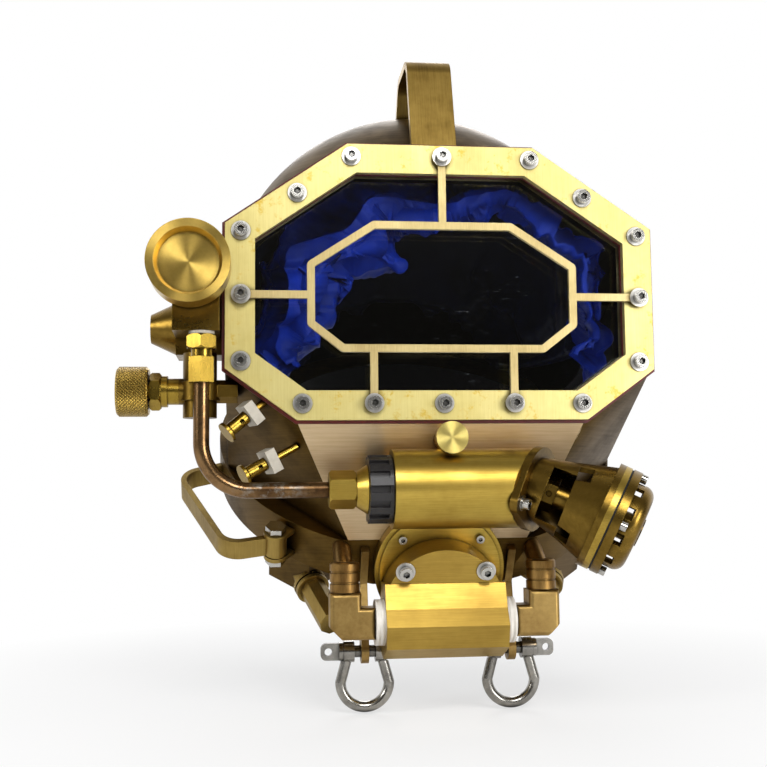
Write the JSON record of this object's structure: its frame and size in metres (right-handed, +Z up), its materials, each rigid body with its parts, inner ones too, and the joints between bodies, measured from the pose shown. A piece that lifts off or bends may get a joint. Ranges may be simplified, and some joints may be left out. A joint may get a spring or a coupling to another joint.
{
  "type": "diving helmet",
  "caption": "Brass surface-supplied diving helmet with a framed window, side valve block, demand regulator, exhaust manifold, shackles, lifting handle and neck ring.",
  "frame": {"origin": "centre of the neck ring's lower face, on the axis of its opening", "axes": "+Z up, -Y the way the diver looks, +X the diver's left hand"},
  "size_m": [0.355, 0.343, 0.448],
  "materials": {
    "aged_brass": "satin",
    "black_plastic": "moulded",
    "black_rubber": "matte",
    "blue_cloth": "woven",
    "bright_brass": "polished",
    "clear_window": "clear",
    "copper_tube": "tarnished",
    "red_rubber": "matte",
    "satin_brass": "brushed",
    "stainless": "polished",
    "white_plastic": "turned"
  },
  "bodies": {
    "helmet": {"block_plug": "bright_brass", "column_hex": "bright_brass", "column_nut": "bright_brass", "column_washer": "white_plastic", "corner_lugs": "satin_brass", "cover_screws": "stainless", "diaphragm": "black_rubber", "diaphragm_ring": "bright_brass", "drain_fittings": "aged_brass", "elbow_ferrules": "bright_brass", "elbow_left": "satin_brass", "elbow_right": "satin_brass", "exhaust_boss": "satin_brass", "exhaust_manifold": "satin_brass", "exhaust_risers": "aged_brass", "flange_screws": "stainless", "gas_tube": "copper_tube", "handle_bracket": "bright_brass", "handle_pin": "stainless", "head_cushion": "blue_cloth", "helmet_shell": "aged_brass", "inlet_nut": "bright_brass", "inlet_stem": "bright_brass", "manifold_screws": "stainless", "manifold_washers": "stainless", "neck_ring": "satin_brass", "nose_gland": "bright_brass", "post_washers": "white_plastic", "regulator_barrel": "satin_brass", "regulator_cover": "bright_brass", "regulator_flange": "bright_brass", "regulator_housing": "aged_brass", "regulator_mount": "satin_brass", "seal_washers": "white_plastic", "shackle_eyes": "aged_brass", "side_block": "satin_brass", "side_handle": "satin_brass", "terminal_posts": "bright_brass", "top_handle": "satin_brass", "valve_body": "satin_brass", "valve_bonnet": "bright_brass", "valve_tube": "bright_brass", "window_gasket": "red_rubber", "window_guard": "aged_brass", "window_lens": "clear_window", "window_retainer": "satin_brass", "window_screws": "stainless", "window_washers": "stainless"},
    "nose_knob": {"nose_knob": "bright_brass", "nose_pad": "black_rubber"},
    "adjuster": {"adjuster_knob": "black_plastic"},
    "flow_knob": {"flow_knob": "black_plastic"},
    "valve_knob": {"valve_knob": "black_plastic"},
    "purge_button": {"purge_button": "bright_brass"},
    "nut_upper": {"terminal_nut_upper": "bright_brass"},
    "nut_lower": {"terminal_nut_lower": "bright_brass"},
    "shackle_right": {"shackle_bow_right": "stainless", "shackle_pin_right": "stainless"},
    "shackle_left": {"shackle_bow_left": "stainless", "shackle_pin_left": "stainless"}
  },
  "joints": [
    {"name": "nose_knob_slide", "type": "slide", "parent": "helmet", "child": "nose_knob", "axis": [0, -1, 0], "range_m": [0, 0.012]},
    {"name": "adjuster_turn", "type": "hinge", "parent": "helmet", "child": "adjuster", "pos_m": [-0.036, -0.168, -0.016], "axis": [1, 0, 0], "range_deg": [-360, 360]},
    {"name": "flow_knob_turn", "type": "hinge", "parent": "helmet", "child": "flow_knob", "pos_m": [-0.161, -0.174, 0.122], "axis": [0, 1, 0], "range_deg": [-300, 0]},
    {"name": "valve_knob_turn", "type": "hinge", "parent": "helmet", "child": "valve_knob", "pos_m": [-0.156, -0.144, 0.0475], "axis": [1, 0, 0], "range_deg": [-360, 0]},
    {"name": "purge_press", "type": "slide", "parent": "helmet", "child": "purge_button", "axis": [-0.8577, 0.2737, 0.4352], "range_m": [0, 0.004], "stiffness_N_per_m": 250, "springref_m": -0.002},
    {"name": "terminal_nut_upper_turn", "type": "hinge", "parent": "helmet", "child": "nut_upper", "pos_m": [-0.11649, -0.14964, 0.03916], "axis": [-0.7326, -0.2747, -0.6227], "range_deg": [-360, 360]},
    {"name": "terminal_nut_lower_turn", "type": "hinge", "parent": "helmet", "child": "nut_lower", "pos_m": [-0.09719, -0.14244, 0.01055], "axis": [-0.8324, -0.3122, -0.4578], "range_deg": [-360, 360]},
    {"name": "shackle_right_swing", "type": "hinge", "parent": "helmet", "child": "shackle_right", "pos_m": [0.049, -0.118, -0.122], "axis": [1, 0, 0], "range_deg": [-60, 90]},
    {"name": "shackle_left_swing", "type": "hinge", "parent": "helmet", "child": "shackle_left", "pos_m": [-0.049, -0.118, -0.122], "axis": [1, 0, 0], "range_deg": [-60, 90]}
  ]
}
